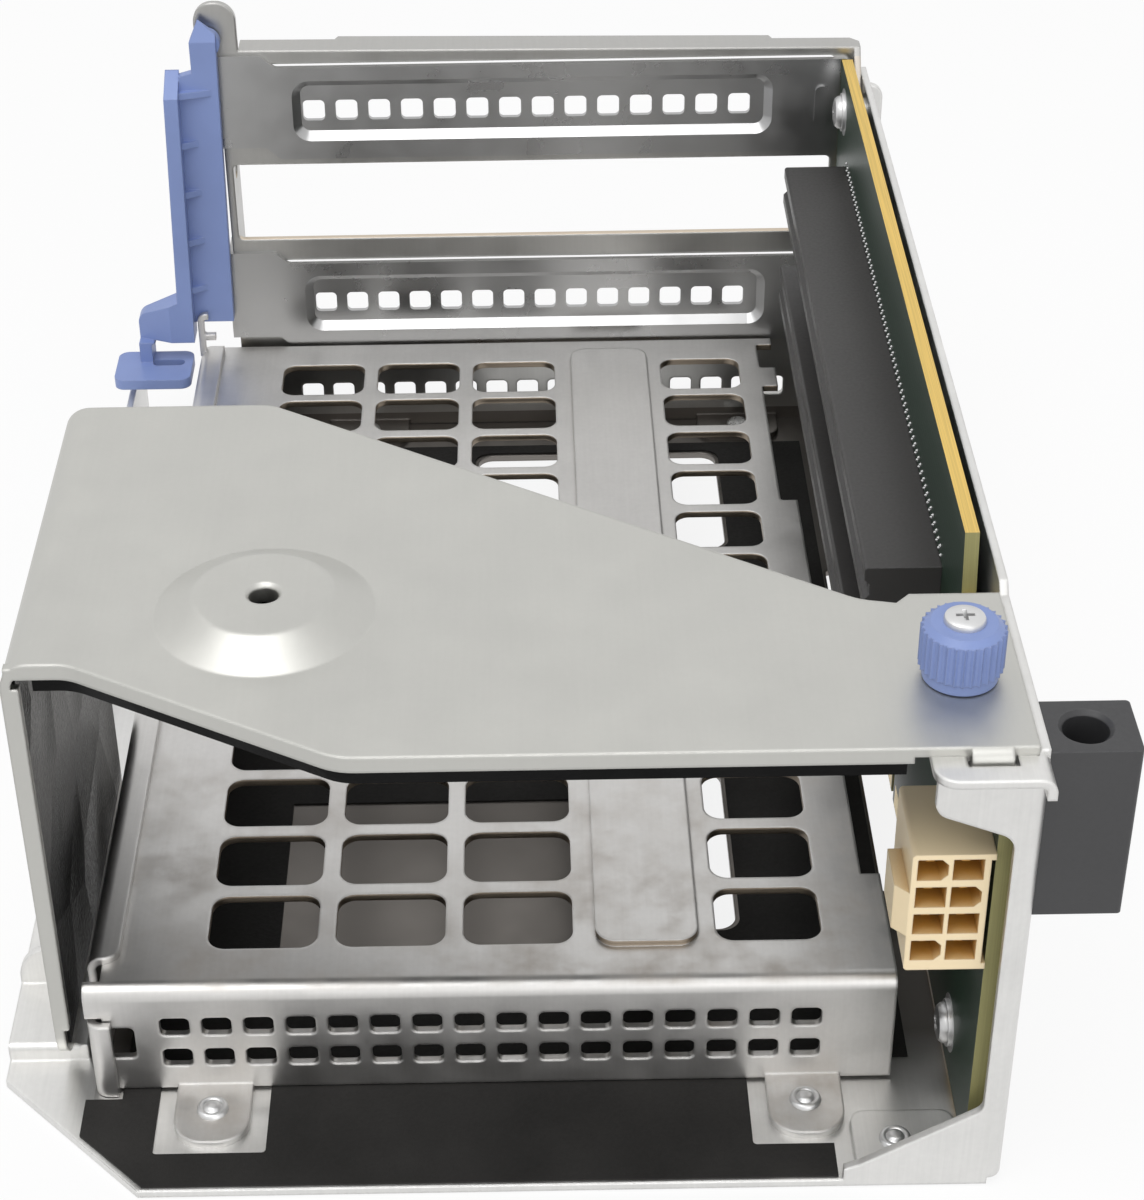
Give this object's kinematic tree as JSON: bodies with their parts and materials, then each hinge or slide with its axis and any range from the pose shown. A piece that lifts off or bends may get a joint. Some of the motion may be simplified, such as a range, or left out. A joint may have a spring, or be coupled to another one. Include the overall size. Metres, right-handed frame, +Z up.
{
  "type": "riser card cage",
  "caption": "Folded sheet riser card cage for a rack server: riser board with card sockets, vented shelf, slot covers, hinged card latch and a bridge cover with a thumbscrew.",
  "frame": {"origin": "middle of the floor's underside", "axes": "+Z up from the floor, +Y from the cover's open front to the rear slots, +X towards the wall that carries the riser board"},
  "size_m": [0.1562, 0.221, 0.0916],
  "materials": {
    "plated_steel": "zinc plated sheet, satin",
    "cover_steel": "zinc plated sheet, satin",
    "shelf_steel": "zinc plated sheet, satin",
    "slot_steel": "plated sheet, satin",
    "insulator_film": "matt film",
    "blue_plastic": "moulded, satin",
    "circuit_board": "solder mask",
    "socket_plastic": "moulded",
    "contact_metal": "plated",
    "power_plastic": "moulded",
    "block_plastic": "moulded, matt",
    "fastener_steel": "plated"
  },
  "bodies": {
    "base": {"chassis_frame": "plated_steel", "rear_slot_frame": "plated_steel", "top_cover": "cover_steel", "vented_shelf": "shelf_steel", "shelf_side_wall": "shelf_steel", "upper_slot_cover": "slot_steel", "lower_slot_cover": "slot_steel", "cover_liner": "insulator_film", "floor_insulator": "insulator_film", "riser_board": "circuit_board", "upper_slot": "socket_plastic", "lower_slot": "socket_plastic", "upper_contacts": "contact_metal", "lower_contacts": "contact_metal", "power_pins": "contact_metal", "power_socket": "power_plastic", "guide_block": "block_plastic", "retainer_pin": "fastener_steel", "clinch_nut": "fastener_steel", "foot_rivets": "fastener_steel", "frame_rivets": "fastener_steel", "board_screws": "fastener_steel", "board_standoffs": "fastener_steel", "guide_block_screws": "fastener_steel"},
    "retainer": {"card_retainer": "blue_plastic"},
    "thumbscrew": {"thumbscrew_knob": "blue_plastic", "thumbscrew_screw": "fastener_steel"}
  },
  "joints": [
    {"name": "retainer_hinge", "type": "hinge", "parent": "base", "child": "retainer", "pos_m": [-0.05135, 0.1003, 0.0846], "axis": [0, 1, 0], "range_deg": [0, 100]},
    {"name": "thumbscrew_turn", "type": "hinge", "parent": "base", "child": "thumbscrew", "pos_m": [0.06135, -0.087, 0.08], "axis": [0, 0, 1], "continuous": true}
  ]
}
